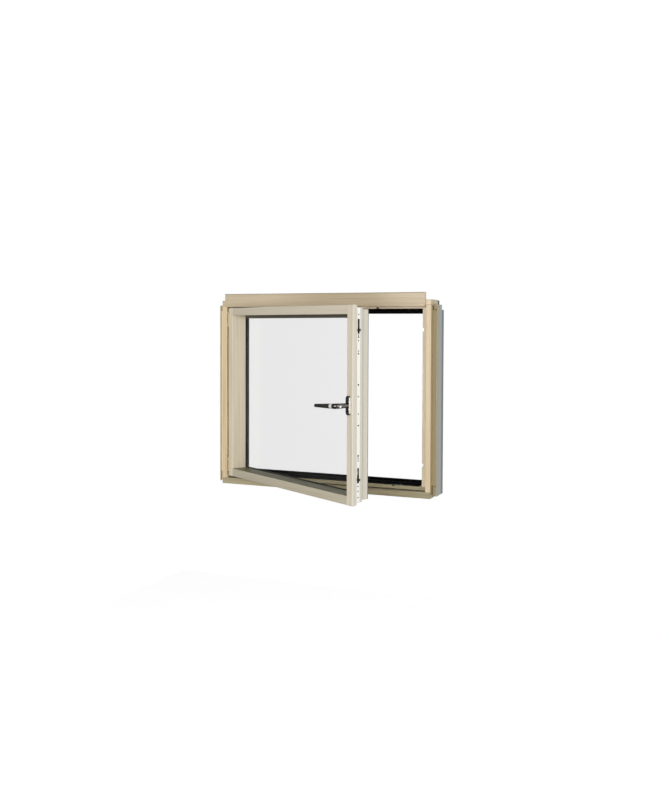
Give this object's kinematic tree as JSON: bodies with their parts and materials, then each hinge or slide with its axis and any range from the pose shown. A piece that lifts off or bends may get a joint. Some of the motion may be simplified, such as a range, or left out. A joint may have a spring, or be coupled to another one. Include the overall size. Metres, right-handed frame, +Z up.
{
  "type": "side-hung timber window unit",
  "caption": "Timber window unit whose glazed sash swings into the room on side hinges, with a lever handle, an edge lock, a header board and grey metal side covers; no wall.",
  "frame": {"origin": "on the bottom face of the sill, at the middle of its width, level with the front face of the frame", "axes": "+X along the sill to the right as seen from the room, +Y from the room to the outside, +Z up; the sash stands open by 30.2 degrees at rest"},
  "size_m": [0.93, 0.577, 0.7772],
  "materials": {
    "pine_frame_across": "clear lacquered pine, grain along X",
    "pine_frame_upright": "clear lacquered pine, grain along Z",
    "pine_sash_across": "clear lacquered pine, grain along the rail",
    "pine_sash_upright": "clear lacquered pine, grain along Z",
    "pine_board": "clear lacquered pine, grain along X",
    "gasket": "matte black rubber",
    "black_stop": "matte black plastic",
    "cover_metal": "grey lacquered aluminium sheet",
    "bead_metal": "dark grey lacquered aluminium",
    "foam": "olive-brown fibre strip",
    "keep_metal": "dark grey cast zinc",
    "hinge_steel": "yellow-chromated steel",
    "screw_steel": "zinc-plated steel",
    "lock_steel": "silver-coated steel strip",
    "rod_steel": "oiled zinc-plated steel",
    "cam_steel": "zinc-plated steel",
    "handle_metal": "satin dark chrome",
    "pane_glass": "clear float glass",
    "spacer": "matte black edge spacer",
    "setting_block": "hard plastic block"
  },
  "bodies": {
    "frame": {"frame_head": "pine_frame_across", "frame_sill": "pine_frame_across", "left_jamb": "pine_frame_upright", "right_jamb": "pine_frame_upright", "header_board": "pine_board", "frame_seal": "gasket", "head_stop": "black_stop", "sill_stop": "black_stop", "left_stop": "black_stop", "right_stop": "black_stop", "weather_bar": "black_stop", "head_cover": "cover_metal", "sill_cover": "cover_metal", "left_cover": "cover_metal", "right_cover": "cover_metal", "left_foam": "foam", "right_foam": "foam", "jamb_keeps": "keep_metal", "sill_keep": "keep_metal", "head_keep": "keep_metal", "upper_frame_leaf": "hinge_steel", "lower_frame_leaf": "hinge_steel", "upper_hinge_pin": "hinge_steel", "lower_hinge_pin": "hinge_steel", "frame_screws": "screw_steel", "cover_screws": "screw_steel"},
    "sash": {"sash_left_stile": "pine_sash_upright", "sash_right_stile": "pine_sash_upright", "sash_bottom_rail": "pine_sash_across", "sash_top_rail": "pine_sash_across", "inner_pane": "pane_glass", "outer_pane": "pane_glass", "spacer_bar": "spacer", "inner_glazing_seal": "gasket", "outer_glazing_seal": "gasket", "setting_blocks": "setting_block", "left_bead": "bead_metal", "right_bead": "bead_metal", "bottom_bead": "bead_metal", "top_bead": "bead_metal", "sash_seal": "gasket", "lock_faceplate": "lock_steel", "top_corner_drive": "lock_steel", "bottom_corner_drive": "lock_steel", "lock_case": "lock_steel", "upper_sash_leaf": "hinge_steel", "lower_sash_leaf": "hinge_steel", "sash_screws": "screw_steel", "handle_rose": "handle_metal", "rose_screws": "screw_steel"},
    "handle": {"handle_lever": "handle_metal", "spindle": "lock_steel"},
    "lock_bar": {"lock_rod": "rod_steel", "lock_cams": "cam_steel", "cam_guides": "black_stop"},
    "top_bar": {"top_rod": "rod_steel", "top_cam": "cam_steel"},
    "bottom_bar": {"bottom_rod": "rod_steel", "bottom_cam": "cam_steel"}
  },
  "joints": [
    {"name": "sash_swing", "type": "hinge", "parent": "frame", "child": "sash", "pos_m": [-0.4185, 0.0035, 0.3785], "axis": [0, 0, -1], "range_deg": [-30.2, 59.8]},
    {"name": "handle_turn", "type": "hinge", "parent": "sash", "child": "handle", "pos_m": [0.2798, -0.40697, 0.3785], "axis": [-0.503, -0.8643, 0], "range_deg": [0, 90]},
    {"name": "lock_bar_slide", "type": "slide", "parent": "sash", "child": "lock_bar", "axis": [0, 0, 1], "range_m": [0, 0.0181]},
    {"name": "top_bar_slide", "type": "slide", "parent": "sash", "child": "top_bar", "axis": [-0.8643, 0.503, 0], "range_m": [0, 0.0181]},
    {"name": "bottom_bar_slide", "type": "slide", "parent": "sash", "child": "bottom_bar", "axis": [0.8643, -0.503, 0], "range_m": [0, 0.0181]}
  ],
  "couplings": [
    {"joint": "lock_bar_slide", "follows": "handle_turn", "m_per_rad": 0.011459},
    {"joint": "top_bar_slide", "follows": "handle_turn", "m_per_rad": 0.011459},
    {"joint": "bottom_bar_slide", "follows": "handle_turn", "m_per_rad": 0.011459}
  ]
}
